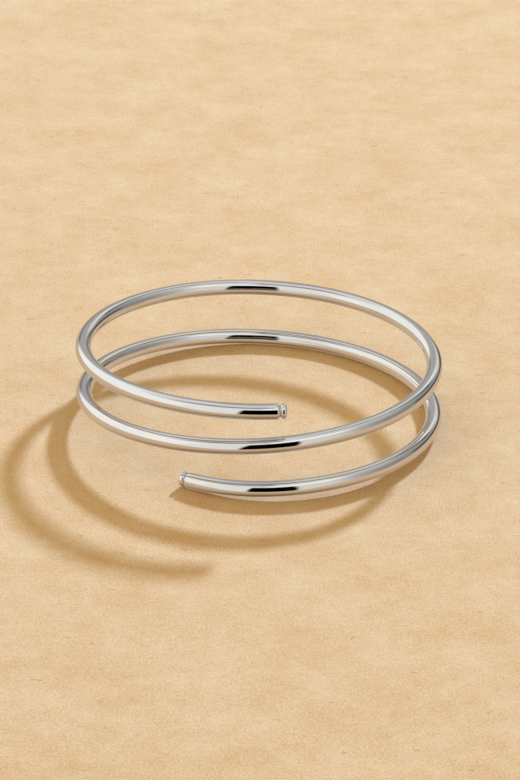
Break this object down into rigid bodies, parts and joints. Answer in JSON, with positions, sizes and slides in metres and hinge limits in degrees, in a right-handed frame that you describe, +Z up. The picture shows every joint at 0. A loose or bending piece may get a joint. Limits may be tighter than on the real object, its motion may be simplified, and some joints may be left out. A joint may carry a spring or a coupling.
{
  "type": "spiral bangle",
  "caption": "Round polished wire coiled into an open spiral bangle, each free end closed by a small rounded button on a narrow neck.",
  "frame": {"origin": "middle of the footprint, on the floor that the coil rests on", "axes": "+Z up from the floor, about along the middle line of the coil; the wire rises counter-clockwise seen from above, and both its ends are at the front, toward -Y"},
  "size_m": [0.0659, 0.0662, 0.0179],
  "materials": {
    "wire": "mirror-polished steel with faint fine lines along the wire",
    "button": "mirror-polished steel"
  },
  "bodies": {
    "root": {"spiral_wire": "wire", "lower_button": "button", "upper_button": "button"}
  },
  "joints": []
}
